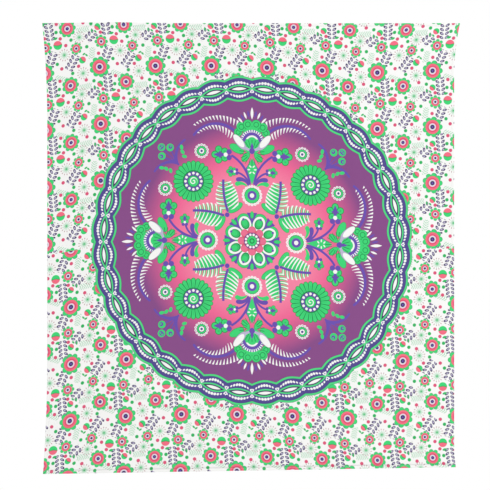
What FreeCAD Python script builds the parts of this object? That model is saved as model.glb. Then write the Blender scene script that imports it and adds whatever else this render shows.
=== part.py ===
"""Tapestry wall hanging: a printed sheet with a double-folded, lockstitched hem all round.

Millimetres. +X is the viewer's right, +Z is up and the printed front faces -Y.
The origin is the centre of the top hem's back face, which lies on the wall at y = 0.
The side edges hang straight and flare out to the pulled corners.
The sheet is made in two halves that meet at the packing fold across its middle.
"""
import FreeCAD, Part
import os
import Sketcher

OUT_DIR = "parts"
FLARE_RUNS = 4  # straight runs along each flare, whose points lie on a parabola

DRIVING_SIZES = {
    "full_width": 2134.0,           # 84 in, corner to corner along the top edge
    "full_height": 2286.0,          # 90 in, top edge to bottom edge
    "top_flare": 26.0,              # how far a top corner stands out past the straight side edge
    "top_flare_length": 260.0,      # the height that it takes to do so
    "bottom_flare": 14.0,           # the same two at a bottom corner
    "bottom_flare_length": 300.0,
    "cloth_thickness": 0.3,
    "hem_layers": 3.0,              # the edge is folded over twice
    "hem_width": 15.0,
    "stitch_inset": 2.0,            # from a hem's inner edge to the middle of its stitch row
    "thread_width": 0.4,
    "thread_thickness": 0.2,
    "thread_end_margin": 4.0,       # from the side edge to the end of a top or bottom stitch row
    "joint_gap": 0.3,               # between pieces that move apart
    "fold_axis_lead": 0.6,          # from the printed face to the axis that the fold turns on
}

WAIST_REACH = "(sizes.full_width / 2 - sizes.top_flare)"
HEM_DEPTH = "sizes.cloth_thickness * sizes.hem_layers"
PANEL_BACK = "sizes.cloth_thickness * (sizes.hem_layers - 1)"
HALF_HEM = "sizes.hem_width / 2"
HALF_GAP = "sizes.joint_gap / 2"
FOLD_DROP = "(sizes.full_height / 2 - sizes.hem_width / 2)"
THREAD_NEAR = "(sizes.hem_width - sizes.stitch_inset - sizes.thread_width / 2)"
THREAD_FAR = "(sizes.hem_width - sizes.stitch_inset + sizes.thread_width / 2)"

# Each half of the sheet. Heights are given as distances down from the origin: corner is the
# outer edge of the half's top or bottom hem, far is the end next to that hem, near is the end
# at the fold, and outwards is the sign that leads from the fold to the corner.
UPPER = {
    "name": "upper",
    "outwards": "-",
    "flare": "sizes.top_flare",
    "flare_length": "sizes.top_flare_length",
    "corner": f"(-{HALF_HEM})",
    "far": f"({HALF_HEM} + sizes.joint_gap)",
    "near": f"({FOLD_DROP} - {HALF_GAP})",
}
LOWER = {
    "name": "lower",
    "outwards": "+",
    "flare": "sizes.bottom_flare",
    "flare_length": "sizes.bottom_flare_length",
    "corner": f"(sizes.full_height - {HALF_HEM})",
    "far": f"(sizes.full_height - {HALF_HEM} - sizes.hem_width)",
    "near": f"({FOLD_DROP} + {HALF_GAP})",
}
SIDES = {"left": -1, "right": 1}

doc = FreeCAD.newDocument("tapestry_wall_hanging")
sheet = doc.addObject("Spreadsheet::Sheet", "sizes")


def fill_sheet():
    """Write the driving sizes, one row each: name, value, alias."""
    for row, (name, number) in enumerate(DRIVING_SIZES.items(), start=1):
        sheet.set(f"A{row}", name)
        sheet.set(f"B{row}", str(number))
        sheet.setAlias(f"B{row}", name)
    doc.recompute()


def value(expression):
    """What an expression of the sheet's cells comes to now."""
    return float(sheet.evalExpression(expression))


def corner_reach(half, drop):
    """Half-width of the sheet at a height on the flare's last run, next to the corner."""
    slope = f"{half['flare']} * {2 * FLARE_RUNS - 1} / ({FLARE_RUNS} * {half['flare_length']})"
    return f"({WAIST_REACH} + {half['flare']} - {slope} * abs({drop} - {half['corner']}))"


def side_edge(half, side, inset):
    """A side edge moved in by inset, from the fold to the far end: (side, reach, drop)."""
    tangent = f"({half['corner']} - {half['outwards']}1 * {half['flare_length']})"
    points = [(side, f"{WAIST_REACH} - {inset}", half["near"])]
    for run in range(FLARE_RUNS):
        share = f"({run} / {FLARE_RUNS})"
        reach = f"{WAIST_REACH} + {half['flare']} * {share}^2 - {inset}"
        points.append((side, reach, f"{tangent} {half['outwards']} {half['flare_length']} * {share}"))
    points.append((side, f"{corner_reach(half, half['far'])} - {inset}", half["far"]))
    return points


def side_strip(half, side, near_edge, far_edge):
    """Outline of a strip along a side edge, between two distances in from that edge."""
    return side_edge(half, side, near_edge) + side_edge(half, side, far_edge)[::-1]


def panel(half):
    """Outline of half of the printed sheet, out to the side hems' inner edges."""
    left, right = (side_edge(half, side, "sizes.hem_width") for side in SIDES.values())
    return left + right[::-1]


def end_band(half, inner_drop):
    """Outline of a top or bottom hem, from side edge to side edge."""
    ends = [(corner_reach(half, drop), drop) for drop in (half["corner"], inner_drop)]
    left, right = ([(side, *end) for end in ends] for side in SIDES.values())
    return left + right[::-1]


def end_bar(half, drop):
    """Outline of the stitch row of a top or bottom hem, its middle at one height."""
    reach = f"{corner_reach(half, drop)} - sizes.thread_end_margin"
    edges = [f"{drop} {sign} sizes.thread_width / 2" for sign in "-+"]
    left, right = ([(side, reach, edge) for edge in edges] for side in SIDES.values())
    return left + right[::-1]


def new_sketch(body, name, outline, back="0"):
    """A closed outline seen from the front, back mm in front of the wall.

    The sketch's x is +X, its y is +Z and its normal is -Y. Every corner is held by the sheet."""
    sketch = body.newObject("Sketcher::SketchObject", f"{body.Name}_{name}")
    plane = next(item for item in body.Origin.OriginFeatures if item.Role == "XZ_Plane")
    sketch.AttachmentSupport = [(plane, "")]
    sketch.MapMode = "FlatFace"
    sketch.setExpression("AttachmentOffset.Base.z", back)
    corners = [FreeCAD.Vector(side * value(reach), -value(drop), 0) for side, reach, drop in outline]
    for corner, following in zip(corners, corners[1:] + corners[:1]):
        sketch.addGeometry(Part.LineSegment(corner, following), False)
    for edge, (side, reach, drop) in enumerate(outline):
        join = Sketcher.Constraint("Coincident", edge, 1, (edge - 1) % len(outline), 2)
        sketch.addConstraint(join)
        hold(sketch, "DistanceX", edge, reach, side)
        above_origin = value(drop) < 0
        hold(sketch, "DistanceY", edge, f"-({drop})" if above_origin else drop,
             1 if above_origin else -1)
    return sketch


def hold(sketch, kind, edge, expression, sign):
    """Hold one coordinate of an edge's start at sign times an expression that is positive."""
    ends = (-1, 1, edge, 1) if sign > 0 else (edge, 1, -1, 1)
    index = sketch.addConstraint(Sketcher.Constraint(kind, *ends, value(expression)))
    sketch.setExpression(f"Constraints[{index}]", expression)


def make_piece(label, outline, back, thickness):
    """A flat piece: its outline thickened towards the front."""
    body = doc.addObject("PartDesign::Body", label)
    body.Label = label
    pad = body.newObject("PartDesign::Pad", f"{label}_pad")
    pad.Profile = new_sketch(body, "outline", outline, back)
    pad.Type = "Length"
    pad.setExpression("Length", thickness)
    body.Tip = pad
    doc.recompute()
    return body


def make_hem(label, outline, thread_outline):
    """A hem strip, all its layers thick, with the bobbin thread's groove along its back."""
    body = make_piece(label, outline, "0", HEM_DEPTH)
    volume_before = body.Shape.Volume
    groove = body.newObject("PartDesign::Pocket", f"{label}_groove")
    groove.Profile = new_sketch(body, "groove_outline", thread_outline)
    groove.Type = "Length"
    groove.setExpression("Length", "sizes.thread_thickness")
    groove.Reversed = True
    body.Tip = groove
    doc.recompute()
    if body.Shape.Volume >= volume_before:
        raise RuntimeError(f"{label}: the thread groove cut nothing")
    return body


def make_stitched_hem(place, outline, thread_outline):
    """A hem with its needle thread in front and its bobbin thread in the groove."""
    return [
        make_hem(f"hem_{place}", outline, thread_outline),
        make_piece(f"needle_thread_{place}", thread_outline, HEM_DEPTH, "sizes.thread_thickness"),
        make_piece(f"bobbin_thread_{place}", thread_outline, "0", "sizes.thread_thickness"),
    ]


def make_half(half):
    """Half of the printed sheet with its two side hems."""
    pieces = [make_piece(f"cloth_{half['name']}", panel(half), PANEL_BACK, "sizes.cloth_thickness")]
    for side_name, side in SIDES.items():
        pieces += make_stitched_hem(
            f"{side_name}_{half['name']}",
            side_strip(half, side, "0", "sizes.hem_width"),
            side_strip(half, side, THREAD_NEAR, THREAD_FAR),
        )
    return pieces


def check(bodies):
    """Stop on any failed feature, loose sketch or piece that isn't one valid solid."""
    for item in doc.Objects:
        if "Invalid" in item.State or "Error" in item.State:
            raise RuntimeError(f"{item.Name} failed: {item.State}")
        if item.TypeId == "Sketcher::SketchObject" and (item.solve() or not item.FullyConstrained):
            raise RuntimeError(f"{item.Name} isn't fully constrained")
    for body in bodies:
        shape = body.Shape
        if shape.isNull() or not shape.isValid() or len(shape.Solids) != 1:
            raise RuntimeError(f"{body.Label} isn't one valid solid")


fill_sheet()
pieces = make_stitched_hem(
    "top",
    end_band(UPPER, HALF_HEM),
    end_bar(UPPER, f"({HALF_HEM} - sizes.stitch_inset)"),
)
pieces += make_half(UPPER)
pieces += make_half(LOWER)
pieces += make_stitched_hem(
    "bottom",
    end_band(LOWER, LOWER["far"]),
    end_bar(LOWER, f"({LOWER['far']} + sizes.stitch_inset)"),
)

doc.recompute()
check(pieces)
os.makedirs(OUT_DIR, exist_ok=True)
for piece in pieces:
    piece.Shape.exportStep(os.path.join(OUT_DIR, f"{piece.Label}.step"))
    box = piece.Shape.BoundBox
    print(f"{piece.Label:28s} x {box.XMin:9.2f} {box.XMax:9.2f}  y {box.YMin:6.2f} {box.YMax:6.2f}"
          f"  z {box.ZMin:9.2f} {box.ZMax:9.2f}  volume {piece.Shape.Volume:12.1f}")
print(f"lift axis: y {-value(HEM_DEPTH):.2f} z {-value(HALF_HEM):.2f}")
print(f"fold axis: y {-value(f'{HEM_DEPTH} + sizes.fold_axis_lead'):.2f} z {-value(FOLD_DROP):.2f}")
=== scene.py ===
"""Looks of the tapestry wall hanging: a printed cotton sheet, its four folded hems and their stitching.

Metres. +X is the viewer's right, +Z is up and the printed front faces -Y, as in the CAD model.
Flat places are on the cloth before it was hung, measured from the middle of the big medallion.
"""
import math

import bpy
import numpy as np
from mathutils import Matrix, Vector


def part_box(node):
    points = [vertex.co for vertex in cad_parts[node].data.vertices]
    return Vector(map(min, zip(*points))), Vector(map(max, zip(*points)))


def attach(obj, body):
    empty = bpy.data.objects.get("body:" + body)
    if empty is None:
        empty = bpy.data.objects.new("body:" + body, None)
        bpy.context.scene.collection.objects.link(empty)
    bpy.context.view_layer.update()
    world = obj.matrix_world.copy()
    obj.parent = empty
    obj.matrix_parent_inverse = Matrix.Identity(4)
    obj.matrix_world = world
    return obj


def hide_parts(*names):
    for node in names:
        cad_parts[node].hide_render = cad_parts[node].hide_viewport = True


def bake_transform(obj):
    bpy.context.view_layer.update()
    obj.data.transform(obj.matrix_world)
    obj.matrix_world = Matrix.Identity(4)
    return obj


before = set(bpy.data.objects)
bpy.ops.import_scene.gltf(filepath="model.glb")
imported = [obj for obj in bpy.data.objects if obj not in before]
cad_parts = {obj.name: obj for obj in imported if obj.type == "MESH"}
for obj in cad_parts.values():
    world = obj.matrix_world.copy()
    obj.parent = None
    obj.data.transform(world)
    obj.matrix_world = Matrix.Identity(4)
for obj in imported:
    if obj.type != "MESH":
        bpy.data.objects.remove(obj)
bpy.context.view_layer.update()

# ---- sizes, from the CAD frame ----

HEM_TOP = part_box("hem_top")
HEM_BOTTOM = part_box("hem_bottom")
CORNER_REACH = HEM_TOP[1].x
TOP_Z = HEM_TOP[1].z
HINGE_Z = HEM_TOP[0].z
BOTTOM_Z = HEM_BOTTOM[0].z
FOLD_Z = (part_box("cloth_upper")[0].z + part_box("cloth_lower")[1].z) / 2
HEM_WIDTH = TOP_Z - HINGE_Z
HEM_DEPTH = -HEM_TOP[0].y
CLOTH_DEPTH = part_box("cloth_upper")[1].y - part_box("cloth_upper")[0].y
WAIST = HEM_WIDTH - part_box("hem_left_lower")[1].x
HEIGHT = TOP_Z - BOTTOM_Z
WIDTH = 2 * CORNER_REACH

# ---- how the cloth hangs ----

MEDALLION_RISE = 0.030  # the medallion's middle lies this far above the cloth's own
MEDALLION_Z = (TOP_Z + BOTTOM_Z) / 2 + MEDALLION_RISE
MEDALLION_X = 0.005  # and this far to the right of it
SKEW = 0.0167  # slope of a weft yarn at the bottom edge, which hangs lower on the left
FLARES = {  # how far each corner stands out, and over what height
    ("top", -1): (0.026, 0.50),
    ("top", 1): (0.030, 0.28),
    ("bottom", -1): (0.022, 0.60),
    ("bottom", 1): (0.009, 0.10),
}
SIDE_WAISTS = {-1: WAIST, 1: WAIST - 0.0035}  # from the middle line to each straight side edge
TOP_BULGE = 0.005  # the top edge rises this far near the left corner
RELIEF_LIMIT = 9.0  # no fold stands further off the wall than this, in millimetres
BEND_LENGTH = 0.030  # the height over which the cloth turns at the packing fold
BEND_MARGIN = 0.020  # the rows are close together this far past the bend too
OVERLAP = 0.0015  # how far the sheet runs on inside its hems
TUCK = 0.0002  # how far that part is set back
HINGE_THINNING = 0.80  # share of its depth that a side hem keeps on the line the cloth lifts on
HINGE_RISE = 40.0  # and how fast it gets its depth back, per metre
STITCH_INSET = 0.002
STITCH_PITCH = 0.0035
STITCH_LENGTH = 0.0030
STITCH_END_MARGIN = 0.004  # from the side edge to the end of a top or bottom row
STITCH_SIDES = 5  # of a stitch's section
THREAD_RADIUS = 0.000175
GRID_STEP = 0.0125


def smooth(t):
    """Smooth rise from 0 to 1 as t goes from 0 to 1."""
    t = np.clip(t, 0, 1)
    return t * t * (3 - 2 * t)


def bump(x, middle, width):
    """A round bump 1 high."""
    return np.exp(-(((x - middle) / width) ** 2))


def reach(side, z):
    """Distance from the middle line to a side edge at a height."""
    top_flare, top_length = FLARES["top", side]
    low_flare, low_length = FLARES["bottom", side]
    top = top_flare * np.clip(1 - (TOP_Z - z) / top_length, 0, 1) ** 2
    low = low_flare * np.clip(1 - (z - BOTTOM_Z) / low_length, 0, 1) ** 2
    return SIDE_WAISTS[side] + top + low


def draw_in(u, z):
    """How much narrower than flat the cloth hangs, at a place and height."""
    return np.where(u < 0, reach(-1, z), reach(1, z)) / CORNER_REACH


def relief(u, z):
    """How far the cloth stands off the wall, in metres: soft folds, creases and corner pulls.

    It's worked out in millimetres, and is small beside the two lines that the cloth turns on."""
    down = HINGE_Z - z
    broad = 1.5 + 0.75 * np.sin(5.1 * u + 0.6 * np.sin(2.3 * z) + 0.4)
    broad += 0.45 * np.sin(9.3 * u - 1.7 * z + 1.9)
    broad += 0.35 * np.sin(3.4 * z + 2.2 * u)
    top_right = pull(CORNER_REACH - u, down, 0.62, 11.0)
    low_left = pull(CORNER_REACH + u, z - BOTTOM_Z, 0.70, 10.0)
    top_left = pull(CORNER_REACH + u, down, 0.40, 8.0)
    low_right = pull(CORNER_REACH - u, z - BOTTOM_Z, 0.40, 7.0)
    total = broad + 3.0 * top_right + 2.7 * low_left + 1.2 * top_left + 1.0 * low_right
    for crease in (-0.546, 0.546):
        total += 0.45 * bump(u, crease + 0.004 * np.sin(7 * z), 0.010)
        total -= 0.30 * bump(u, crease + 0.022, 0.016)
    total += 0.35 * bump(z, FOLD_Z + 0.57, 0.010) + 0.35 * bump(z, FOLD_Z - 0.57, 0.010)
    total += wrinkles(u, z)
    allowed = np.minimum(0.15 + 0.045 * 1000 * np.abs(z - FOLD_Z), 0.1 + 0.060 * 1000 * down)
    allowed = np.clip(allowed, 0.0, RELIEF_LIMIT)
    return np.clip(np.minimum(total, allowed), 0, RELIEF_LIMIT) * 0.001


def pull(across, down, length, folds):
    """Folds that fan out from a pulled corner, strongest a little way in from it."""
    away = np.hypot(across, down)
    turn = np.arctan2(down, across)
    fan = 0.5 + 0.5 * np.sin(folds * turn + 2.0 + 3.0 * away)
    return fan * np.exp(-away / length * 1.6) * smooth((away - 0.05) / 0.20)


def wrinkles(u, z):
    """Fine unevenness left by packing, in millimetres, from seeded waves."""
    rng = np.random.default_rng(7)
    total = np.zeros_like(u)
    for _ in range(26):
        turn, size, start = rng.uniform(0, math.pi), rng.uniform(0.05, 0.19), rng.uniform(0, 6.3)
        wave = 2 * math.pi / size
        total += size * np.sin(wave * (u * math.cos(turn) + z * math.sin(turn)) + start)
    return 0.42 * total


def hang(u, depth):
    """Where a place on the flat cloth hangs: x, z, and how far off the wall its back is."""
    level = TOP_Z - depth
    drop = np.clip(HINGE_Z - level, 0, None) / HEIGHT
    x = u * draw_in(u, level)
    z = level + SKEW * drop * x
    z = z + TOP_BULGE * bump(u, -0.72, 0.22) * np.clip(1 - depth / HEM_WIDTH, 0, 1)
    return x, z, relief(u, z)


def rest_rows():
    """Depths of the cloth's rows below its top edge, closer together where the fold bends."""
    start, end = TOP_Z - HINGE_Z, HEIGHT - HEM_WIDTH + OVERLAP
    fold = TOP_Z - FOLD_Z
    bend_start = fold - BEND_MARGIN
    bend_end = fold + BEND_LENGTH + BEND_MARGIN
    upper = np.linspace(start, bend_start, 1 + math.ceil((bend_start - start) / GRID_STEP))
    middle = np.linspace(bend_start, bend_end, 25)
    lower = np.linspace(bend_end, end, 1 + math.ceil((end - bend_end) / GRID_STEP))
    return np.concatenate([upper, middle[1:], lower[1:]])


def make_object(name, points, faces, flat=None, materials=(), indices=None):
    """A smooth-shaded mesh object. flat: where each point lies on the print."""
    mesh = bpy.data.meshes.new(name)
    mesh.from_pydata(np.asarray(points, float).reshape(-1, 3).tolist(), [], faces)
    mesh.update()
    if flat is not None:
        attribute = mesh.attributes.new("flat", "FLOAT_VECTOR", "POINT")
        attribute.data.foreach_set("vector", np.asarray(flat, np.float32).ravel())
    for material in materials:
        mesh.materials.append(material)
    if indices is not None:
        mesh.polygons.foreach_set("material_index", np.asarray(indices, np.int32))
    mesh.polygons.foreach_set("use_smooth", np.ones(len(mesh.polygons), bool))
    obj = bpy.data.objects.new(name, mesh)
    bpy.context.scene.collection.objects.link(obj)
    return obj


def print_drop(u):
    """How far the print lies below its true level: it was printed askew and a little wavy."""
    phase = np.clip(2.35 * u, -math.pi / 2, math.pi / 2)
    droop = 0.034 * smooth((-0.78 - u) / 0.30) - 0.013 * smooth((u - 0.52) / 0.40)
    return 0.018 * np.sin(phase) + 0.016 * (1 - np.cos(phase)) + droop


def flat_place(u, depth):
    """Places on the print as vectors from the medallion's middle: right, up."""
    up = (TOP_Z - MEDALLION_Z) - depth + print_drop(u - MEDALLION_X)
    return np.stack([u - MEDALLION_X, up, np.zeros_like(u)], axis=-1)


def grid_faces(rows, columns, first=0, flipped=False):
    """Quads of a grid of points stored row by row from the top."""
    quads = []
    for row in range(rows - 1):
        for column in range(columns - 1):
            a = first + row * columns + column
            quad = (a, a + columns, a + columns + 1, a + 1)
            quads.append(quad[::-1] if flipped else quad)
    return quads


def tube_faces(first, rings, sides):
    """Faces of a closed tube whose points are stored ring by ring, with a cap at each end."""
    faces = []
    for ring in range(rings - 1):
        start = first + ring * sides
        for k in range(sides):
            a, b = start + k, start + (k + 1) % sides
            faces.append((a, b, b + sides, a + sides))
    last = first + (rings - 1) * sides
    faces.append(tuple(range(first, first + sides))[::-1])
    faces.append(tuple(range(last, last + sides)))
    return faces


def print_regions(flat):
    """Which of the print's three materials each quad of a grid takes: medallion, ring or border."""
    middles = (flat[:-1, :-1] + flat[1:, 1:]) / 2
    away = np.hypot(middles[..., 0], middles[..., 1]).ravel() * 100
    in_ring = (away >= RING_INNER - RING_MARGIN) & (away <= RING_OUTER + RING_MARGIN)
    return np.where(in_ring, 1, np.where(away > RING_OUTER, 2, 0))


def make_cloth(front_materials, back_materials):
    """The printed sheet, as thick as the real one, from the hinge line to inside the bottom hem.

    It takes three materials in front and three behind: medallion, ring and border."""
    depths = rest_rows()
    inner = CORNER_REACH - HEM_WIDTH + OVERLAP
    columns = np.linspace(-inner, inner, 1 + math.ceil(2 * inner / GRID_STEP))
    columns = np.concatenate([[columns[0]], [columns[0] + OVERLAP], columns[1:-1],
                              [columns[-1] - OVERLAP], [columns[-1]]])
    u, depth = np.meshgrid(columns, depths)
    x, z, off = hang(u, depth)
    tucked = (np.abs(u) > inner - OVERLAP / 2) | (depth > HEIGHT - HEM_WIDTH + OVERLAP / 2)
    y = -HEM_DEPTH - off + np.where(tucked, TUCK, 0)
    front = np.stack([x, y, z], axis=-1).reshape(-1, 3)
    back = front + [0, CLOTH_DEPTH, 0]
    flat = flat_place(u, depth).reshape(-1, 3)
    rows, wide = u.shape
    faces = grid_faces(rows, wide) + grid_faces(rows, wide, rows * wide, True)
    rim = [(0, c) for c in range(wide)] + [(r, wide - 1) for r in range(1, rows)]
    rim += [(rows - 1, c) for c in range(wide - 2, -1, -1)]
    rim += [(r, 0) for r in range(rows - 2, 0, -1)]
    rim = [r * wide + c for r, c in rim]
    behind = rows * wide
    rim_faces = [(a, b, b + behind, a + behind) for a, b in zip(rim, rim[1:] + rim[:1])]
    region = print_regions(flat.reshape(rows, wide, 3))
    reverse = region + len(front_materials)
    indices = np.concatenate([region, reverse, np.full(len(rim_faces), reverse.max())])
    return make_object("printed_cloth", np.concatenate([front, back]), faces + rim_faces,
                       np.concatenate([flat, flat]), (*front_materials, *back_materials), indices)


def hem_profile():
    """Section of a folded hem: share of its width from the inner edge, distance off its back in
    metres, and whether the point is behind."""
    depth = HEM_DEPTH
    round_end = depth / HEM_WIDTH / 2
    front = [(0.0, 0.97), (0.05, 1.0), (0.10, 0.96), (0.133, 0.88), (0.17, 0.96), (0.24, 1.04),
             (0.45, 1.14), (0.70, 1.12), (0.90, 1.04), (1 - round_end, 0.98), (1.0, 0.55)]
    back = [(1.0, 0.40), (1 - round_end, 0.03), (0.70, 0.0), (0.30, 0.0), (0.133, 0.05),
            (0.01, 0.0)]
    return [(share, level * depth, False) for share, level in front] + [
        (share, level * depth, True) for share, level in back]


def make_hem(name, inner, outer, materials):
    """A folded hem swept along stations. inner and outer: (u, depth) along its two edges.

    Its front gets lower towards the line the cloth lifts on, so that the hems clear each other."""
    profile = hem_profile()
    points, flats = [], []
    for share, level, behind in profile:
        u = inner[:, 0] + (outer[:, 0] - inner[:, 0]) * share
        depth = inner[:, 1] + (outer[:, 1] - inner[:, 1]) * share
        x, z, off = hang(u, depth)
        puff = 1 + 0.10 * np.sin(41 * (u + depth)) + 0.06 * np.sin(97 * (u - depth) + 1)
        from_hinge = np.abs(depth - HEM_WIDTH)
        front = HEM_DEPTH + (level - HEM_DEPTH) * puff
        room = HEM_DEPTH * (HINGE_THINNING + HINGE_RISE * from_hinge)
        lift = level if behind else np.minimum(front, room)
        points.append(np.stack([x, -off - lift, z], axis=-1))
        past = 2 * (1 - share) if behind else 0
        flats.append(flat_place(u + (outer[:, 0] - inner[:, 0]) * past,
                                depth + (outer[:, 1] - inner[:, 1]) * past))
    points = np.stack(points, axis=1)
    flats = np.stack(flats, axis=1)
    faces = tube_faces(0, *points.shape[:2])
    return make_object(name, points.reshape(-1, 3), faces, flats.reshape(-1, 3), materials)


def make_stitches(name, path, behind, material):
    """A row of separate stitches along a path on the flat cloth, in front of or behind the hem.

    Each is a short tube that dips into the cloth at both ends."""
    path_u, path_depth = path.T
    steps = np.hypot(np.diff(path_u), np.diff(path_depth))
    along = np.concatenate([[0], np.cumsum(steps)])
    rng = np.random.default_rng(len(name) * 31 + int(behind))
    count = int(along[-1] / STITCH_PITCH)
    middles = (np.arange(count) + 0.5) * along[-1] / count
    half = STITCH_LENGTH / 2
    rings = np.array([-1.0, -0.55, 0.0, 0.55, 1.0])
    height = np.array([-0.7, 0.45, 0.75, 0.45, -0.7]) * THREAD_RADIUS
    thick = np.array([0.55, 1.0, 1.0, 1.0, 0.55]) * THREAD_RADIUS
    turns = np.arange(STITCH_SIDES) * 2 * math.pi / STITCH_SIDES
    jitter = rng.normal(0, 0.00006, count)
    s = middles[:, None] + rings[None, :] * half
    u = np.interp(s, along, path_u)
    depth = np.interp(s, along, path_depth)
    x, z, off = hang(u, depth)
    surface = 0.00004 if behind else 0.88 * HEM_DEPTH
    outwards = 1 if behind else -1
    y = -off - surface + outwards * height[None, :]
    direction = np.stack([x[:, -1] - x[:, 0], z[:, -1] - z[:, 0]], axis=-1)
    direction /= np.linalg.norm(direction, axis=1)[:, None]
    normal = np.stack([-direction[:, 1], direction[:, 0]], axis=-1)
    lean = jitter[:, None] * rings[None, :]
    points = np.empty((count, len(rings), STITCH_SIDES, 3))
    for k, turn in enumerate(turns):
        across = math.cos(turn) * thick[None, :] + lean
        points[:, :, k, 0] = x + normal[:, 0:1] * across
        points[:, :, k, 2] = z + normal[:, 1:2] * across
        points[:, :, k, 1] = y + math.sin(turn) * thick[None, :]
    faces = []
    for stitch in range(count):
        faces += tube_faces(stitch * len(rings) * STITCH_SIDES, len(rings), STITCH_SIDES)
    return make_object(name, points.reshape(-1, 3), faces, None, [material])


# ---- shader building blocks: all lengths of the print are in centimetres on the flat cloth ----

EXPOSURE = 1.46  # how bright the studio light makes a white surface
EDGE = 0.10  # how soft a printed edge is


def colour(red, green, blue):
    """Paint that shows under this scene's light as the given sRGB colour, 0 to 255."""
    def linear(c):
        c /= 255
        return c / 12.92 if c <= 0.04045 else ((c + 0.055) / 1.055) ** 2.4
    return tuple(linear(c) / EXPOSURE for c in (red, green, blue)) + (1.0,)


WHITE = colour(253, 253, 251)
GREEN = colour(64, 218, 122)
MID_GREEN = colour(56, 194, 108)
DARK_GREEN = colour(30, 138, 78)
LINE_GREEN = colour(84, 222, 134)
PINK = colour(250, 112, 136)
ROSE = colour(226, 82, 116)
PALE_PINK = colour(240, 196, 208)
VIOLET = colour(110, 82, 178)
INDIGO = colour(86, 76, 146)
DARK = colour(66, 52, 98)
LILAC = colour(192, 186, 214)
PETAL_PINK = colour(240, 116, 150)
PALE_LILAC = colour(228, 222, 236)
PALE_GREEN = colour(172, 222, 188)
STAR_PINK = colour(226, 92, 128)
STAR_GREEN = colour(60, 190, 106)
DUSKY = colour(196, 164, 166)
PURPLE = colour(139, 79, 139)
GROUND_PINK = colour(250, 136, 168)
GROUND_ROSE = colour(244, 108, 154)


def add_node(tree, kind, inputs, **settings):
    """Add a node to a shader: its properties first, then what feeds its inputs."""
    node = tree.nodes.new(kind)
    for name, setting in settings.items():
        setattr(node, name, setting)
    for slot, value in inputs.items():
        feed(tree, value, node.inputs[slot])
    return node


def mixed(tree, share, first, second):
    """Two colours mixed: all second where the share is 1."""
    inputs = {0: share, 6: first, 7: second}
    return add_node(tree, "ShaderNodeMix", inputs, data_type="RGBA").outputs[2]


def scaled(tree, vector, factor):
    """A vector or colour times a number."""
    inputs = {0: vector, "Scale": factor}
    return add_node(tree, "ShaderNodeVectorMath", inputs, operation="SCALE").outputs[0]


def fill_ramp(node, stops):
    """Give a colour ramp its stops: places from 0 to 1, each with a colour."""
    elements = node.color_ramp.elements
    while len(elements) < len(stops):
        elements.new(1.0)
    for element, (place, ink) in zip(elements, stops):
        element.position = place
        element.color = ink


def feed(tree, value, socket):
    """Link a value into a socket, or set it there if it's a plain number."""
    if isinstance(value, (Num, Place)):
        tree.links.new(value.socket, socket)
    elif isinstance(value, bpy.types.NodeSocket):
        tree.links.new(value, socket)
    else:
        socket.default_value = value


class Num:
    """A number in a shader. Arithmetic on it adds Math nodes to its tree."""

    def __init__(self, tree, socket):
        self.tree = tree
        self.socket = socket

    def math(self, operation, *others, clamp=False, first=None):
        values = (self, *others) if first is None else (first, self, *others)
        node = add_node(self.tree, "ShaderNodeMath", dict(enumerate(values)),
                        operation=operation, use_clamp=clamp)
        return Num(self.tree, node.outputs[0])

    def __add__(self, other):
        return self.math("ADD", other)

    def __sub__(self, other):
        return self.math("SUBTRACT", other)

    def __rsub__(self, other):
        return self.math("SUBTRACT", first=other)

    def __mul__(self, other):
        return self.math("MULTIPLY", other)

    def __truediv__(self, other):
        return self.math("DIVIDE", other)

    def __neg__(self):
        return self.math("MULTIPLY", -1.0)

    def __abs__(self):
        return self.math("ABSOLUTE")

    __radd__ = __add__

    def cos(self):
        return self.math("COSINE")

    def sin(self):
        return self.math("SINE")

    def low(self, other):
        return self.math("MINIMUM", other)

    def high(self, other):
        return self.math("MAXIMUM", other)

    def wrap(self, period):
        """Distance from the nearest multiple of the period, with its sign."""
        return self.math("WRAP", period / 2, -period / 2)

    def fold(self, half_period):
        """Distance from the nearest multiple of twice the half period."""
        return self.math("PINGPONG", half_period)

    def inside(self, limit=0.0, scale=1.0):
        """Mask that is 1 where this number, scaled to centimetres, is below the limit."""
        return self.math("MULTIPLY_ADD", -scale / EDGE, 0.5 + limit * scale / EDGE, clamp=True)


class Place:
    """A point on the print in a shader."""

    def __init__(self, tree, socket):
        self.tree = tree
        self.socket = socket
        self.parts = None

    def vector(self, operation, *others, output=0):
        node = add_node(self.tree, "ShaderNodeVectorMath", dict(enumerate((self, *others))),
                        operation=operation)
        return node.outputs[output]

    def away(self, x=0.0, y=0.0):
        """Distance from a point."""
        return Num(self.tree, self.vector("DISTANCE", (x, y, 0), output=1))

    def local(self, x, y, degrees=0.0, along=1.0, across=1.0):
        """This point in a frame at x, y, turned by degrees, with its own units along and across."""
        axes = {"Vector": self, "Location": (x, y, 0), "Scale": (along, across, 1),
                "Rotation": (0, 0, math.radians(degrees))}
        node = add_node(self.tree, "ShaderNodeMapping", axes, vector_type="TEXTURE")
        return Place(self.tree, node.outputs[0])

    def tiled(self, x, y, pitch):
        """This point seen from the nearest of a lattice of points, one of them at x, y."""
        low = (x - pitch[0] / 2, y - pitch[1] / 2, -1)
        high = (x + pitch[0] / 2, y + pitch[1] / 2, 1)
        wrapped = Place(self.tree, self.vector("WRAP", high, low))
        return Place(self.tree, wrapped.vector("SUBTRACT", (x, y, 0)))

    def xy(self):
        if self.parts is None:
            node = add_node(self.tree, "ShaderNodeSeparateXYZ", {0: self})
            self.parts = Num(self.tree, node.outputs[0]), Num(self.tree, node.outputs[1])
        return self.parts

    def angle(self):
        x, y = self.xy()
        return y.math("ARCTAN2", x)

    def folded(self, count, offset=0.0):
        """This point folded into one of count equal sectors; its axis lies along +x."""
        turn = (self.angle() + offset).fold(math.pi / count)
        radius = self.away()
        return join(self.tree, radius * turn.cos(), radius * turn.sin())


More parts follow.
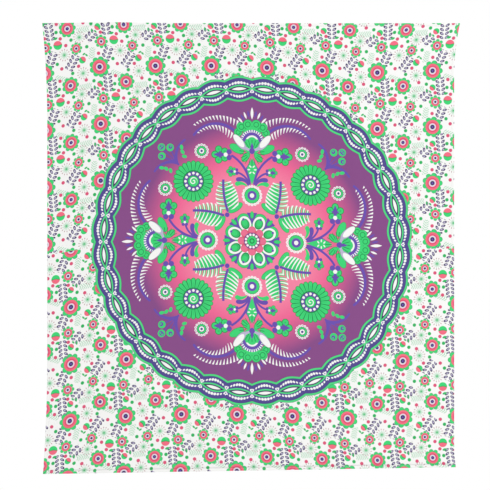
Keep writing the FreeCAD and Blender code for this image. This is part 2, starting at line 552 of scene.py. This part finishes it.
def join(tree, x, y):
    """A point from two numbers."""
    return Place(tree, add_node(tree, "ShaderNodeCombineXYZ", {0: x, 1: y}).outputs[0])


class Painter:
    """A node group that paints shapes over a colour, one after another."""

    def __init__(self, name):
        self.tree = bpy.data.node_groups.new(name, "ShaderNodeTree")
        interface = self.tree.interface
        interface.new_socket("Place", in_out="INPUT", socket_type="NodeSocketVector")
        interface.new_socket("Paint", in_out="INPUT", socket_type="NodeSocketColor")
        interface.new_socket("Paint", in_out="OUTPUT", socket_type="NodeSocketColor")
        source = self.tree.nodes.new("NodeGroupInput")
        self.place = Place(self.tree, source.outputs["Place"])
        self.paint = source.outputs["Paint"]

    def put(self, mask, ink):
        """Paint an ink where the mask is."""
        self.paint = mixed(self.tree, mask, self.paint, ink)

    def disc(self, place, x, y, radius, ink):
        self.put(place.away(x, y).inside(radius), ink)

    def rings(self, distance, radii_and_inks):
        """Concentric bands in one go: each ink reaches out to its radius."""
        outer = radii_and_inks[-1][0] * 1.1
        node = add_node(self.tree, "ShaderNodeValToRGB", {0: distance * (1 / outer)})
        node.color_ramp.interpolation = "CONSTANT"
        edges = [0.0] + [radius / outer for radius, _ in radii_and_inks]
        inks = [ink for _, ink in radii_and_inks]
        inks.append(inks[-1][:3] + (0.0,))
        fill_ramp(node, list(zip(edges, inks)))
        self.put(node.outputs["Alpha"], node.outputs["Color"])

    def oval(self, place, x, y, degrees, along, across, ink):
        size = min(along, across)
        shape = place.local(x, y, degrees, along, across).away()
        self.put(shape.inside(1.0, size), ink)

    def leaf(self, place, x, y, degrees, along, across, ink, skew=0.0):
        """A leaf with two pointed ends; skew bends it."""
        px, py = place.local(x, y, degrees, along, across).xy()
        square = px * px
        if skew:
            py = square.math("MULTIPLY_ADD", -skew, py)
        self.put((abs(py) + square).inside(1.0, across), ink)

    def stroke(self, place, start, middle, end, half_width, ink, swell=0.0):
        """A curved stroke through three points; swell makes it wider towards its end."""
        spot, radius, turn, half = arc_through(place, start, middle, end)
        width = half_width + turn * (swell * half_width / half)
        past = (abs(turn) - half) * radius
        gap = join(self.tree, spot.away() - radius, past.high(0.0)).away()
        self.put((gap - width).inside(), ink)

    def finish(self):
        add_node(self.tree, "NodeGroupOutput", {0: self.paint})
        return self.tree


def arc_through(place, start, middle, end):
    """A frame at the centre of the arc through three points, its radius, turn and half angle.

    The turn grows from start to end and is zero halfway between them."""
    (ax, ay), (bx, by), (cx, cy) = start, middle, end
    d = 2 * (ax * (by - cy) + bx * (cy - ay) + cx * (ay - by))
    a2, b2, c2 = ax * ax + ay * ay, bx * bx + by * by, cx * cx + cy * cy
    ox = (a2 * (by - cy) + b2 * (cy - ay) + c2 * (ay - by)) / d
    oy = (a2 * (cx - bx) + b2 * (ax - cx) + c2 * (bx - ax)) / d
    first, last = math.atan2(ay - oy, ax - ox), math.atan2(cy - oy, cx - ox)
    sweep = (last - first + math.pi) % (2 * math.pi) - math.pi
    spot = place.local(ox, oy, math.degrees(first + sweep / 2))
    turn = spot.angle() * (1.0 if sweep > 0 else -1.0)
    return spot, math.hypot(ax - ox, ay - oy), turn, abs(sweep) / 2


def fringe(art, place, start, middle, end, gap, lengths, pitch, slant):
    """White barbs on the outside of an arc: gap is how far they stand off it."""
    spot, radius, turn, half = arc_through(place, start, middle, end)
    reach_out = spot.away() - radius - gap
    share = turn / (2 * half) + 0.5
    length = share * (lengths[1] - lengths[0]) + lengths[0]
    comb = (turn * radius + reach_out * slant).fold(pitch / 2)
    blade = comb - (reach_out / length + 0.35) * 0.36
    ends = (abs(turn) - half) * radius
    art.put(blade.high(-reach_out).high(reach_out - length).high(ends).inside(), WHITE)


# ---- the medallion ----

RING_INNER = 72.2
RING_OUTER = 83.6
RING_MARGIN = 2.0  # the ring's material reaches this far past it both ways
RING_MIDDLE = 77.8
RAIL_OUTER = 82.3  # the green rails along the ring's two edges
RAIL_INNER = 73.5
TIP_LEVELS = (79.3, 76.5)  # where the diamonds between two links lie
LINKS = 36
LINK_LENGTH = 2 * math.pi * 78 / LINKS


def paint_ground():
    """Pink ground that deepens to purple away from the middle."""
    art = Painter("ground")
    node = add_node(art.tree, "ShaderNodeValToRGB", {0: art.place.away() * 0.01})
    fill_ramp(node, [(0.33, GROUND_PINK), (0.42, GROUND_ROSE), (0.60, PURPLE)])
    art.put(art.place.away().inside(80.0), node.outputs["Color"])
    return art.finish()


def paint_ring():
    """A plait of violet links with white beads and green edges, round the medallion."""
    art = Painter("ring")
    radius = art.place.away()
    turn = art.place.angle() * (LINKS / (2 * math.pi))
    part = (turn + 0.5).wrap(1.0)
    bulge = (part * math.pi).cos()
    across = part * LINK_LENGTH
    outer = radius - bulge * 1.53
    inner = radius + bulge * 1.79
    art.put((outer - RAIL_OUTER).high(RAIL_INNER - inner).inside(), INDIGO)
    for rail in (outer - RAIL_OUTER, inner - RAIL_INNER):
        art.put(abs(rail).inside(0.62), DARK)
        art.put(abs(rail).inside(0.50), LINE_GREEN)
    eye = abs(radius - RING_MIDDLE) - bulge * 1.75
    art.put(eye.inside(0.34), LINE_GREEN)
    art.put(eye.inside(-0.42), DARK)
    lens = across * (1 / 3.9)
    lens = abs(radius - RING_MIDDLE) * (1 / 0.76) + lens * lens
    art.put(lens.inside(1.0, 0.76), WHITE)
    beads = part.fold(1 / 18) * LINK_LENGTH
    size = bulge * 0.42 + 0.30
    row_out = radius - bulge * 1.69 - 79.3
    row_in = radius + bulge * 2.66 - 76.55
    for row in (row_out, row_in):
        art.put((join(art.tree, row, beads).away() - size).inside(), WHITE)
    tip = abs(abs(part) - 0.5) * LINK_LENGTH
    for level in TIP_LEVELS:
        diamond = abs(radius - level) + tip
        art.put(diamond.inside(1.1), WHITE)
        art.put(diamond.inside(0.45), VIOLET)
    return art.finish()


def paint_centre():
    """The middle: a rosette in a flower of eight white petals."""
    art = Painter("middle")
    place = art.place
    axis = place.folded(8)
    between = place.folded(8, math.pi / 8)
    rim = between.local(9.7, 0, 0, 4.9, 4.15).away()
    for limit, ink in ((1.05, DARK_GREEN), (1.0, GREEN)):
        art.put(rim.inside(limit, 4.6), ink)
    x, y = axis.xy()
    art.put((abs(y) - (x - 8.4) * 0.46).high(x - 14.4).inside(), VIOLET)
    art.oval(axis, 13.3, 0, 0, 1.9, 1.0, DARK_GREEN)
    art.oval(axis, 13.3, 0, 0, 1.75, 0.85, GREEN)
    petal = between.local(9.5, 0, 0, 3.85, 3.15).away()
    for limit, ink in ((1.05, DARK_GREEN), (1.0, WHITE)):
        art.put(petal.inside(limit, 3.5), ink)
    art.oval(between, 9.3, 0, 0, 2.75, 2.2, DARK_GREEN)
    art.oval(between, 9.5, 0, 0, 2.35, 1.85, MID_GREEN)
    art.oval(between, 9.9, 0, 0, 1.6, 1.3, GREEN)
    art.disc(between, 11.8, 0, 0.62, VIOLET)
    art.disc(axis, 5.4, 0, 2.05, ROSE)
    art.disc(axis, 5.6, 0, 1.65, PETAL_PINK)
    art.put(place.away().inside(4.3), PURPLE)
    art.put(place.folded(12, math.pi / 12).away(3.25, 0).inside(0.62), WHITE)
    art.rings(place.away(), [(0.8, GREEN), (1.35, DARK_GREEN), (2.4, GREEN), (2.6, DARK_GREEN)])
    return art.finish()


def octant(art):
    """The point folded into the wedge between a medallion axis, along +x, and a diagonal."""
    x, y = (abs(part) for part in art.place.xy())
    return join(art.tree, x.high(y), x.low(y))


def fern(art, place):
    """A violet stem with a fringe of white and green barbs, long on the axis side."""
    spot, radius, turn, half = arc_through(place, (14.6, 12.6), (22.6, 14.6), (31.0, 15.0))
    away = spot.away() - radius
    outer = away.math("GREATER_THAN", 0.0)
    share = turn / (2 * half) + 0.5
    side = abs(away)
    length = 7.2 - outer * 2.6 - (share - 0.4) * (share - 0.4) * 10.0
    comb = (turn * radius - side * (side * 0.045 + 0.12)).fold(1.05)
    edge = (side - length).high((abs(turn) - half) * radius + 0.5)
    art.leaf(place, 22.0, 11.0, 10, 7.4, 3.6, GREEN, -0.05)
    art.oval(place, 16.7, 8.7, -57, 4.4, 1.95, DARK_GREEN)
    art.oval(place, 16.7, 8.7, -57, 4.2, 1.7, GREEN)
    art.put((comb - 0.74).high(edge + 0.5).inside(), DARK_GREEN)
    art.put((comb - 0.66).high(edge + 0.5).inside(), GREEN)
    art.put((comb - 0.14 - side * 0.07).high(edge).inside(), WHITE)
    art.put((side - 0.62).high((abs(turn) - half) * radius).inside(), VIOLET)


def paint_ferns():
    """What grows round the middle: roundels, ferns, buds and small sprigs."""
    art = Painter("ferns")
    place = octant(art)
    fern(art, place)
    art.disc(place, 13.0, 13.0, 1.2, VIOLET)
    bead = place.local(23.2, 0)
    art.put(bead.folded(18).away(4.65, 0).inside(0.78), WHITE)
    art.put(bead.folded(18).away(4.75, 0).inside(0.28), PALE_PINK)
    art.rings(bead.away(), [(1.15, WHITE), (2.4, VIOLET), (3.75, GREEN), (4.0, DARK_GREEN)])
    kite(art, place)
    art.stroke(place, (28.4, 2.0), (31.0, 4.3), (31.2, 7.0), 0.80, VIOLET, 0.5)
    art.stroke(place, (28.2, 3.0), (29.2, 5.2), (29.0, 7.6), 0.75, GREEN, 0.5)
    art.stroke(place, (29.2, 1.2), (37.6, 4.4), (43.2, 10.4), 0.58, VIOLET)
    art.stroke(place, (29.4, 1.6), (33.0, 4.2), (34.8, 7.8), 0.50, VIOLET)
    trefoil(art, place, 43.7, 16.6, 1.12)
    trefoil(art, place, 35.2, 10.7, 0.66)
    return art.finish()


def kite(art, place):
    """A green kite on each axis with six white seeds."""
    x, y = place.xy()
    for size, ink in ((3.3, VIOLET), (2.7, GREEN)):
        low = (x - 36.9) * (-size / 8.4)
        high = (x - 36.9) * (size / 5.4)
        art.put((abs(y) + low.high(high)).inside(size, 0.8), ink)
    for dx, dy, turn in ((1.6, 0.9, 50), (0.0, 1.7, 90), (-1.6, 0.9, -50)):
        art.oval(place, 36.4 + dx, dy, turn, 0.75, 0.34, WHITE)


def trefoil(art, place, x, y, size):
    """A clover of five lobes on a violet calyx with a white eye."""
    spot = place.local(x, y, 90, size, size)
    lobes = spot.folded(5).away(2.55, 0)
    art.put(lobes.inside(1.72, size), DARK_GREEN)
    art.put(lobes.inside(1.38, size), GREEN)
    art.put(lobes.inside(0.45, size), MID_GREEN)
    art.leaf(spot, 0.2, 0, 0, 2.9, 0.95, VIOLET)
    art.leaf(spot, 0.2, 0, 90, 2.0, 0.6, VIOLET)
    art.disc(spot, -4.1, 1.3, 1.25, VIOLET)
    art.disc(spot, -4.1, -1.3, 1.25, VIOLET)
    art.disc(spot, -2.5, 0, 0.95, WHITE)


def paint_lily():
    """The tulip on each axis, its rays, the feathers beside it and the rosettes."""
    art = Painter("lily")
    place = octant(art)
    feathers(art, place)
    art.oval(place, 42.7, 3.3, 140, 2.9, 1.75, DARK_GREEN)
    art.oval(place, 42.7, 3.3, 140, 2.6, 1.5, GREEN)
    art.oval(place, 46.9, 8.0, 64, 4.2, 2.15, DARK_GREEN)
    art.oval(place, 46.9, 8.0, 64, 4.0, 1.9, GREEN)
    for lobe_x, lobe_y, size in ((55.3, 7.3, 2.2), (58.1, 5.6, 2.6), (59.5, 2.2, 2.5)):
        art.disc(place, lobe_x, lobe_y, size, DARK_GREEN)
        art.disc(place, lobe_x, lobe_y, size - 0.22, GREEN)
        art.put(abs(place.away(lobe_x, lobe_y) - size * 0.5).inside(0.16), DARK_GREEN)
    art.oval(place, 51.4, 0, 0, 6.9, 5.6, GREEN)
    tulip(art, place)
    art.oval(place, 50.3, 6.5, 40, 4.9, 2.05, DARK_GREEN)
    art.stroke(place, (46.4, 0.9), (47.8, 4.2), (51.2, 7.2), 1.0, LILAC, 0.5)
    art.oval(place, 50.3, 6.5, 40, 4.75, 1.9, LILAC)
    art.oval(place, 50.9, 6.9, 41, 4.0, 1.6, WHITE)
    art.disc(place, 45.9, 0, 1.5, VIOLET)
    art.leaf(place, 47.4, 0, 0, 2.8, 0.8, VIOLET)
    art.leaf(place, 65.2, 0, 0, 3.1, 0.75, WHITE)
    for ray_x, ray_y, turn, ink in ((64.7, 1.9, 12, VIOLET), (64.0, 3.6, 22, WHITE),
                                    (62.9, 5.0, 32, VIOLET), (61.6, 6.2, 44, WHITE)):
        art.leaf(place, ray_x, ray_y, turn, 1.9, 0.5, ink)
    spot = place.local(45.4, 26.4)
    art.put(spot.folded(14).away(3.2, 0).inside(0.64), WHITE)
    art.put(spot.folded(14).away(3.25, 0).inside(0.22), PURPLE)
    art.rings(spot.away(), [(0.65, INDIGO), (1.35, WHITE), (1.6, DARK), (2.4, GREEN), (2.6, DARK)])
    return art.finish()


def tulip(art, place):
    """The tulip's inside: striped green petals under three arches."""
    x = place.xy()[0]
    fan = place.local(45.0, 0).folded(22)
    side = abs(fan.xy()[1])
    art.put((side - 0.16).high(3.0 - fan.away()).high(fan.away() - 6.6).inside(), DARK_GREEN)
    arch = place.away(50.4, 0)
    front = 52.0 - x
    art.put(abs(arch - 4.9).high(front).inside(1.35), VIOLET)
    teeth = place.local(50.4, 0).folded(30).xy()[1]
    art.put((abs(teeth) - 0.30).high(abs(arch - 5.7) - 0.65).high(front).inside(), WHITE)
    art.put(abs(arch - 3.1).high(front + 0.4).inside(0.42), WHITE)


def feathers(art, place):
    """A violet plume that sweeps sideways from the tulip, fringed with white barbs."""
    fringe(art, place, (57.8, 8.6), (61.0, 19.6), (57.2, 30.4), 0.3, (3.3, 1.1), 1.7, -0.35)
    fringe(art, place, (51.6, 12.2), (56.2, 19.6), (53.6, 28.2), 0.2, (3.6, 1.0), 1.6, -0.55)
    art.stroke(place, (55.6, 8.8), (59.4, 19.8), (53.6, 30.4), 0.66, VIOLET, -0.1)


def paint_daisies():
    """The big daisy on each diagonal and the berry sprig beyond it."""
    art = Painter("daisies")
    x, y = art.place.xy()
    spot = join(art.tree, abs(x), abs(y)).local(30.7, 29.9)
    petals = spot.folded(24)
    along, across = petals.xy()
    art.put(petals.away(9.4, 0).inside(1.26), DARK_GREEN)
    art.put(spot.away().inside(9.4), DARK_GREEN)
    art.disc(petals, 9.35, 0, 1.0, GREEN)
    art.put((abs(across) - along * 0.107).high(along - 9.3).inside(), GREEN)
    art.put((abs(across) - 0.12).high(along - 8.4).inside(), MID_GREEN)
    art.put(spot.away().inside(5.6), DARK_GREEN)
    art.put(spot.away().inside(5.0), VIOLET)
    pearl = spot.folded(12)
    art.put(pearl.away(4.15, 0).inside(0.84), DARK)
    art.put(pearl.away(4.15, 0).inside(0.70), WHITE)
    art.rings(spot.away(), [(2.65, GREEN), (3.0, DARK_GREEN)])
    spiral = (spot.away() - spot.angle() * (1.5 / (2 * math.pi))).fold(0.75)
    art.put((spiral - 0.26).high(spot.away() - 2.1).inside(), WHITE)
    place = octant(art)
    art.stroke(place, (39.4, 39.4), (46.0, 39.2), (51.0, 35.2), 0.70, VIOLET, -0.25)
    art.stroke(place, (39.4, 40.0), (43.0, 41.0), (46.4, 42.6), 0.35, VIOLET)
    art.stroke(place, (38.6, 38.4), (42.0, 42.2), (46.6, 46.5), 0.40, VIOLET)
    for berry_x, berry_y in ((47.4, 47.4), (47.2, 42.9)):
        art.disc(place, berry_x, berry_y, 1.95, GREEN)
        art.disc(place, berry_x + 0.3, berry_y - 0.2, 1.05, VIOLET)
        art.disc(place, berry_x + 0.6, berry_y - 0.3, 0.45, GREEN)
    for leaf_x, leaf_y, turn in ((47.3, 36.9, 10), (44.9, 36.4, 40), (42.6, 35.4, 75)):
        art.oval(place, leaf_x, leaf_y, turn, 1.3, 0.85, GREEN)
    return art.finish()


# ---- the flowered border ----

PITCH = (29.0, 28.9)  # how far apart the border's tiles lie, across and up
BORDER_CORNER = (-79.2, 88.9)  # the middle of one of its big flowers
TURN_LEVEL = -2.6  # below this height the same print runs upside down
TURN_CENTRE = 0.05  # the height that it's turned about


def border_place(art):
    """The point in the border's own tile: right and up from a big flower's middle."""
    x, y = art.place.xy()
    flip = y.math("LESS_THAN", TURN_LEVEL)
    sign = 1.0 - flip * 2.0
    up = y - flip * (2 * TURN_CENTRE)
    return join(art.tree, x * sign - BORDER_CORNER[0], up * sign - BORDER_CORNER[1])


def flower(art, place, x, y, size, lobes, bands):
    """A flower with round green lobes, then concentric bands inside it."""
    spot = place.tiled(x, y, PITCH)
    lobe = size * 0.26
    distance = spot.folded(lobes).away(size - lobe, 0)
    art.put(distance.inside(lobe), DARK_GREEN)
    art.put(distance.inside(lobe * 0.90), GREEN)
    art.rings(spot.away(), bands)


def paint_flowers():
    """The border's flowers: green petals round a pink middle."""
    art = Painter("flowers")
    place = border_place(art)
    flower(art, place, 0, 0, 5.35, 9, [(0.5, VIOLET), (1.15, DARK), (1.85, PALE_LILAC),
                                       (2.1, PINK), (2.6, ROSE), (3.5, PINK), (3.65, ROSE)])
    flower(art, place, 13.5, -7.6, 4.45, 9, [(0.4, VIOLET), (0.85, DARK), (1.5, PALE_LILAC),
                                             (2.2, ROSE), (2.85, PINK), (3.0, ROSE)])
    flower(art, place, 1.5, 12.9, 3.45, 8, [(0.6, DARK), (1.15, PALE_LILAC), (1.55, ROSE),
                                            (2.05, PINK), (2.15, ROSE)])
    flower(art, place, 17.4, 10.6, 3.15, 8, [(0.6, DARK), (1.05, PALE_LILAC), (1.45, ROSE),
                                             (1.95, PINK), (2.05, ROSE)])
    for x, y, radius, turn in ((8.0, 13.7, 2.25, 90), (20.3, 4.3, 1.75, 40),
                               (0.05, -8.6, 1.6, 230)):
        ball(art, place, x, y, radius, turn)
    return art.finish()


def ball(art, place, x, y, radius, turn):
    """A ball, half pink and half green, with a wavy seam."""
    spot = place.tiled(x, y, PITCH).local(0, 0, turn)
    px, py = spot.xy()
    mask = spot.away().inside(radius)
    seam = px + (py * (3.2 / radius)).cos() * 0.18
    art.put(mask, GREEN)
    art.put(mask * (-seam).inside(), PINK)
    art.put(mask * abs(seam).inside(0.14), DARK_GREEN)


def paint_small():
    """The border's small things: stars, starbursts, sprigs and leaves."""
    art = Painter("small")
    place = border_place(art)
    for x, y, turn, length in ((9.2, -3.7, -20, 7.0), (-3.6, 7.1, 80, 6.0),
                               (-7.6, -9.4, 5, 6.4)):
        faint_sprig(art, place, x, y, turn, length)
    for x, y in ((20.3, -2.4), (19.3, -12.9), (11.0, 8.3)):
        burst(art, place, x, y)
    for x, y, turn, length in ((14.9, 3.6, 55, 8.2), (4.2, -8.2, 95, 9.2), (4.2, 6.8, 68, 7.6),
                               (-4.0, 15.8, 40, 6.0)):
        sprig(art, place, x, y, turn, length)
    stars(art, place, STAR_PINK, ((9.3, 1.6), (18.1, 1.5), (8.1, -4.5), (21.8, -6.0),
                                  (1.4, -11.3), (9.5, -12.1), (12.1, 13.0), (-0.2, 6.9)))
    stars(art, place, STAR_GREEN, ((7.1, 4.2), (-3.2, -6.9), (7.6, -8.6), (14.9, -1.6),
                                   (15.0, 15.3), (22.9, 10.7)))
    for x, y, turn, size in ((-3.0, -10.2, 95, 0.95), (-1.2, -10.8, -45, 0.95),
                             (22.5, 6.5, -45, 0.95), (21.2, 7.2, 30, 0.95), (7.0, -11.7, 15, 1.3)):
        art.leaf(place.tiled(x, y, PITCH), 0, 0, turn, size, size * 0.5, STAR_GREEN)
    return art.finish()


def sprig(art, place, x, y, turn, length):
    """A sprig of curled leaves in pairs, lilac with dark tips."""
    px, py = place.tiled(x, y, PITCH).local(0, 0, turn).xy()
    side = abs(py)
    cell = (px - side * 0.45).wrap(2.05)
    span = abs(px - 0.3) - length / 2
    leaf = join(art.tree, cell * 1.35, side - 1.35).away()
    art.put((leaf - 1.02).high(span).inside(), DARK)
    core = join(art.tree, cell * 1.35, side - 1.2).away()
    art.put((core - 0.54).high(span).inside(), LILAC)


def faint_sprig(art, place, x, y, turn, length):
    """A pale green feathery sprig."""
    px, py = place.tiled(x, y, PITCH).local(0, 0, turn).xy()
    side = abs(py)
    comb = (px - side * 0.8).fold(0.6)
    edge = (side - 1.5).high(abs(px) - length / 2)
    art.put((comb - 0.24).high(edge).inside(), PALE_GREEN)


def burst(art, place, x, y):
    """A pale starburst: a green core, fine rays and a ring of dusky dots."""
    spot = place.tiled(x, y, PITCH)
    ray = spot.folded(13)
    distance = spot.away()
    art.put((abs(ray.xy()[1]) - 0.13).high(distance - 2.1).inside(), PALE_GREEN)
    art.put(distance.inside(1.0), PALE_GREEN)
    art.put(distance.inside(0.4), STAR_GREEN)
    art.put(ray.local(2.75, 0, 0, 0.42, 0.24).away().inside(1.0, 0.3), DUSKY)


def stars(art, place, ink, centres):
    """Small solid flowers of one colour, a little darker in the middle."""
    nearest = None
    for x, y in centres:
        distance = place.tiled(x, y, PITCH).away()
        nearest = distance if nearest is None else nearest.low(distance)
    art.put(nearest.inside(0.9), ink)
    art.put(nearest.inside(0.3) * 0.5, DARK_GREEN if ink is STAR_GREEN else ROSE)


# ---- materials ----

YARN_PITCH = 0.0007
YARN_HEIGHT = 0.00004
SLUB_HEIGHT = 0.00012
BACK_PALENESS = 0.45  # how much paler the print shows through on the back


def new_material(name):
    """A material with no nodes yet."""
    material = bpy.data.materials.new(name)
    material.use_nodes = True
    material.node_tree.nodes.clear()
    return material


def add_surface(tree, inputs):
    """Give a material its surface."""
    shader = add_node(tree, "ShaderNodeBsdfPrincipled", inputs)
    add_node(tree, "ShaderNodeOutputMaterial", {"Surface": shader.outputs[0]})


def add_noise(tree, place, scale, detail):
    noise = {"Vector": place, "Scale": scale, "Detail": detail}
    return Num(tree, add_node(tree, "ShaderNodeTexNoise", noise).outputs["Fac"])


def add_weave(tree, flat, paint):
    """The cotton under the print: yarns, slubs, ink that took unevenly, sheen."""
    uneven = add_noise(tree, flat, 9.0, 4.0)
    stretched = add_node(tree, "ShaderNodeMapping", {"Vector": flat, "Scale": (60.0, 900.0, 1.0)})
    slubs = add_noise(tree, stretched.outputs[0], 1.0, 1.0)
    tone = uneven * 0.05 + slubs * 0.05 + 0.95
    turns = scaled(tree, flat, 2 * math.pi / YARN_PITCH)
    yarns = add_node(tree, "ShaderNodeVectorMath", {0: turns}, operation="SINE")
    warp, weft = Place(tree, yarns.outputs[0]).xy()
    height = warp * weft * YARN_HEIGHT + slubs * SLUB_HEIGHT
    bumps = add_node(tree, "ShaderNodeBump", {"Strength": 0.5, "Distance": 1.0, "Height": height})
    add_surface(tree, {"Base Color": scaled(tree, paint, tone), "Roughness": uneven * 0.12 + 0.80,
                       "Specular IOR Level": 0.15, "Sheen Weight": 0.12, "Sheen Roughness": 0.5,
                       "Normal": bumps.outputs[0]})


def printed_material(name, layers, paler=0.0):
    """Cotton printed with layers of the print, one group after another."""
    material = new_material(name)
    tree = material.node_tree
    source = add_node(tree, "ShaderNodeAttribute", {}, attribute_name="flat").outputs["Vector"]
    centimetres = scaled(tree, source, 100.0)
    paint = WHITE
    for layer in layers:
        group = add_node(tree, "ShaderNodeGroup", {"Place": centimetres, "Paint": paint},
                         node_tree=layer)
        paint = group.outputs["Paint"]
    if paler:
        paint = mixed(tree, paler, paint, WHITE)
    add_weave(tree, source, paint)
    return material


def thread_material():
    """White spun-polyester sewing thread with its twist, and painted shade in the grooves of the twist.
    """
    material = new_material("sewing_thread")
    tree = material.node_tree
    place = add_node(tree, "ShaderNodeTexCoord", {}).outputs["Object"]
    twist = add_node(tree, "ShaderNodeTexWave", {"Vector": place, "Scale": 900.0},
                     bands_direction="DIAGONAL").outputs["Fac"]
    # painted shade: the thread is darker where the twist's bump is low, in the grooves between its
    # plies
    tone = mixed(tree, twist, colour(226, 226, 222), colour(252, 252, 249))
    bumps = add_node(tree, "ShaderNodeBump", {"Strength": 0.6, "Distance": 0.00005, "Height": twist})
    add_surface(tree, {"Base Color": tone, "Normal": bumps.outputs[0],
                       "Roughness": 0.55, "Sheen Weight": 0.2})
    return material


# ---- studio ----

LAMP_PLACE = (13.0, -11.0, 8.0)
LAMP_TARGET = (0, 0, -1.1)
LAMP_SIZE = 6.0
LAMP_WATTS = 2400.0
CAMERA_PLACE = (-0.031, -9.0, -1.126)
CAMERA_LENS = 129.4  # millimetres, on a 36 mm sensor
FLOOR_DROP = 0.30  # from the cloth's bottom edge to the floor


def add_to_scene(name, data, place, turn):
    """Add a light or a camera."""
    obj = bpy.data.objects.new(name, data)
    obj.location = place
    obj.rotation_euler = turn
    bpy.context.scene.collection.objects.link(obj)
    return obj


def make_light():
    """White surroundings and one big soft lamp, high up on the right."""
    world = bpy.data.worlds.new("studio")
    world.use_nodes = True
    background = world.node_tree.nodes["Background"]
    background.inputs["Color"].default_value = (1, 1, 1, 1)
    background.inputs["Strength"].default_value = 1.0
    bpy.context.scene.world = world
    light = bpy.data.lights.new("softbox", "AREA")
    light.shape = "RECTANGLE"
    light.size = LAMP_SIZE
    light.size_y = LAMP_SIZE
    light.energy = LAMP_WATTS
    aim = (Vector(LAMP_TARGET) - Vector(LAMP_PLACE)).to_track_quat("-Z", "Y")
    add_to_scene("softbox", light, LAMP_PLACE, aim.to_euler())


def make_floor():
    """A plain pale floor below the cloth."""
    z = BOTTOM_Z - FLOOR_DROP
    corners = [(-4, -2.5, z), (4, -2.5, z), (4, 1.3, z), (-4, 1.3, z)]
    material = new_material("floor")
    add_surface(material.node_tree, {"Base Color": (0.86, 0.86, 0.86, 1), "Roughness": 0.9})
    floor = make_object("floor", corners, [(0, 1, 2, 3)], None, [material])


def make_camera():
    """The camera, square on."""
    scene = bpy.context.scene
    scene.view_settings.view_transform = "Standard"
    lens = bpy.data.cameras.new("camera")
    lens.sensor_width = 36.0
    lens.lens = CAMERA_LENS
    scene.camera = add_to_scene("camera", lens, CAMERA_PLACE, (math.radians(90), 0, 0))


# ---- the object ----

def side_line(side, share, depths):
    """Places along a side hem: share 0 is its inner edge and 1 its outer edge."""
    u = side * (CORNER_REACH - HEM_WIDTH * (1 - share))
    return np.stack([np.full_like(depths, u), depths], axis=-1)


def level_line(depth):
    """Places along a top or bottom hem at one depth."""
    u = np.linspace(-CORNER_REACH, CORNER_REACH, 1 + math.ceil(WIDTH / GRID_STEP))
    return np.stack([u, np.full_like(u, depth)], axis=-1)


def bend_at_fold(obj):
    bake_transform(obj)


def make_prints():
    """The cloth's materials, fronts and backs, each for the medallion, the ring and the border."""
    ground, ring = paint_ground(), paint_ring()
    inner = [ground, paint_centre(), paint_ferns(), paint_lily(), paint_daisies()]
    border = [paint_small(), paint_flowers()]
    regions = (("medallion", inner), ("ring", [*border, ground, ring]), ("border", border))
    fronts = [printed_material(f"{name}_print", layers) for name, layers in regions]
    backs = [printed_material(f"{name}_reverse", layers, BACK_PALENESS)
             for name, layers in regions]
    return fronts, backs


def make_rows(name, line, thread):
    """The needle row in front of a hem and the bobbin row behind it, each with its kind."""
    for kind, behind in (("needle", False), ("bobbin", True)):
        yield kind, make_stitches(f"{kind}_stitches_{name}", line, behind, thread)


def make_side(name, side, printed, thread):
    """A side hem and its two rows of stitches: [hem, row, row]."""
    depths = rest_rows()
    depths = np.append(depths[depths <= HEIGHT - HEM_WIDTH], HEIGHT - HEM_WIDTH)
    hem = make_hem(f"{name}_hem", side_line(side, 0, depths), side_line(side, 1, depths), [printed])
    bend_at_fold(hem)
    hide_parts(f"hem_{name}_upper", f"hem_{name}_lower")
    made = [hem]
    line = side_line(side, STITCH_INSET / HEM_WIDTH, depths)
    for kind, row in make_rows(name, line, thread):
        bend_at_fold(row)
        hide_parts(f"{kind}_thread_{name}_upper", f"{kind}_thread_{name}_lower")
        made.append(row)
    return made


def make_end_rows(name, depth, body, thread):
    """The two rows of stitches of a top or bottom hem."""
    line = level_line(depth)
    line[:, 0] *= 1 - STITCH_END_MARGIN / CORNER_REACH
    made = []
    for kind, row in make_rows(name, line, thread):
        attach(row, body)
        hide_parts(f"{kind}_thread_{name}")
        made.append(row)
    return made


def build():
    """Make every piece with its materials, hide the CAD parts they replace, and hang the top and bottom
    hems and their rows on their bodies.
    """
    fronts, backs = make_prints()
    border = fronts[2]
    thread = thread_material()
    cloth = make_cloth(fronts, backs)
    top_hem = make_hem("top_hem", level_line(HEM_WIDTH), level_line(0.0), [border])
    low_hem = make_hem("bottom_hem", level_line(HEIGHT - HEM_WIDTH), level_line(HEIGHT), [border])
    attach(top_hem, "hanging_edge")
    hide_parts("hem_top")
    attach(low_hem, "lower_half")
    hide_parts("hem_bottom")
    bend_at_fold(cloth)
    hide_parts("cloth_upper", "cloth_lower")
    left_hem, *rows = make_side("left", -1, border, thread)
    right_hem, *right_rows = make_side("right", 1, border, thread)
    rows += right_rows
    rows += make_end_rows("top", HEM_WIDTH - STITCH_INSET, "hanging_edge", thread)
    rows += make_end_rows("bottom", HEIGHT - HEM_WIDTH + STITCH_INSET, "lower_half", thread)
    hems = [top_hem, low_hem, left_hem, right_hem]
    for row in rows:
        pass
    hems + rows


make_light()
make_floor()
make_camera()
build()
